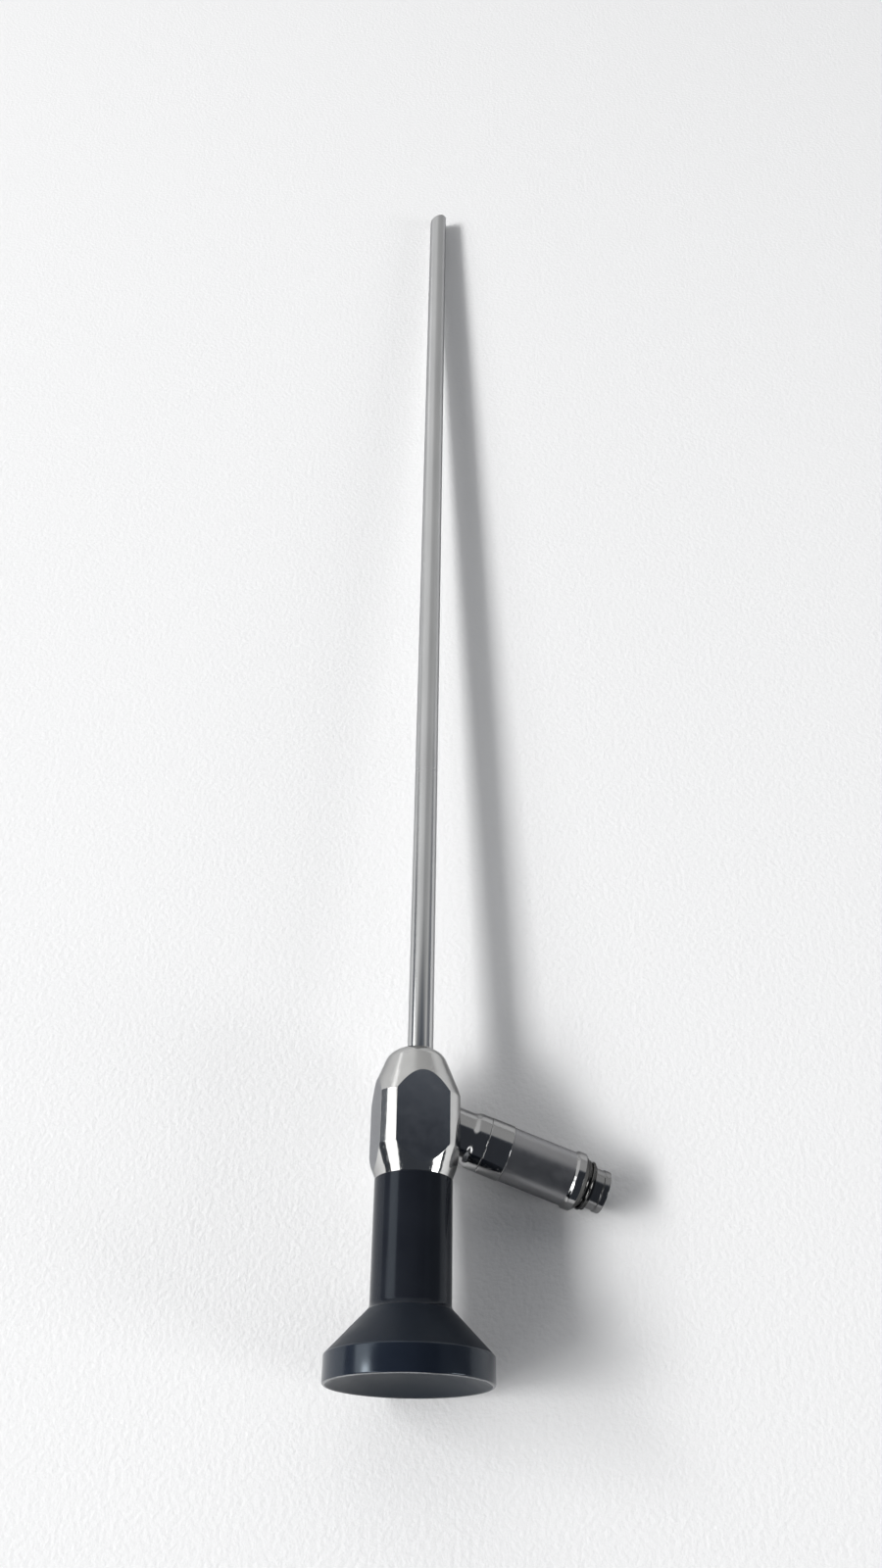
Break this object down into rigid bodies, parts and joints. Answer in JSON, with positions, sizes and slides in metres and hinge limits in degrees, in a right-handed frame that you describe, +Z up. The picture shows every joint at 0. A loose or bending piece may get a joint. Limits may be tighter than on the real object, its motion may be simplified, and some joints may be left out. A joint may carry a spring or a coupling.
{
  "type": "rigid endoscope",
  "caption": "Rigid rod-lens endoscope lying on a table: slanted-tip steel shaft, flat-sided steel body, side light post and black flared eyepiece.",
  "frame": {"origin": "on the table, under the middle of the box round the whole scope, which lies at rest on the eyepiece's rim, the light post's raised ring and the shaft's tip", "axes": "+Y along the shaft's plan direction towards the tip, +X towards the light post, +Z up from the table"},
  "size_m": [0.0564, 0.3819, 0.0321],
  "materials": {
    "black_shell": "black, smooth, satin gloss",
    "polished_steel": "polished stainless steel with fine turning marks",
    "satin_steel": "bead-blasted or finely brushed stainless steel",
    "shaft_steel": "drawn stainless tube, satin",
    "black_metal": "black anodised",
    "brass": "plain turned",
    "optical_glass": "polished, coated",
    "fibre": "bundle of fine glass fibres, glued and ground"
  },
  "bodies": {
    "root": {"aperture_ring": "black_metal", "body_housing": "polished_steel", "eye_lens_crown": "optical_glass", "eye_lens_flint": "optical_glass", "eye_lens_ring": "black_metal", "eyepiece_cup": "black_shell", "eyepiece_window": "optical_glass", "field_stop": "black_metal", "light_ferrule": "satin_steel", "light_fibres": "fibre", "light_post_base": "polished_steel", "light_window": "optical_glass", "objective_front_lens": "optical_glass", "objective_rear_lens": "optical_glass", "ocular_tube": "black_metal", "optics_carrier": "brass", "optics_tube": "shaft_steel", "outer_tube": "shaft_steel", "post_lock_ring": "polished_steel", "post_nipple": "polished_steel", "post_sleeve": "satin_steel", "rod_lens_1": "optical_glass", "rod_lens_2": "optical_glass", "rod_lens_3": "optical_glass", "rod_lens_4": "optical_glass", "rod_lens_5": "optical_glass", "rod_lens_6": "optical_glass", "rod_lens_7": "optical_glass", "rod_lens_8": "optical_glass", "rod_spacer_1": "brass", "rod_spacer_2": "brass", "rod_spacer_3": "brass", "rod_spacer_4": "brass", "rod_spacer_5": "brass", "rod_spacer_6": "brass", "rod_spacer_7": "brass", "stop_spacer": "black_metal", "tip_window": "optical_glass", "train_ring": "brass", "view_prism": "optical_glass", "window_bezel": "satin_steel"}
  },
  "joints": []
}
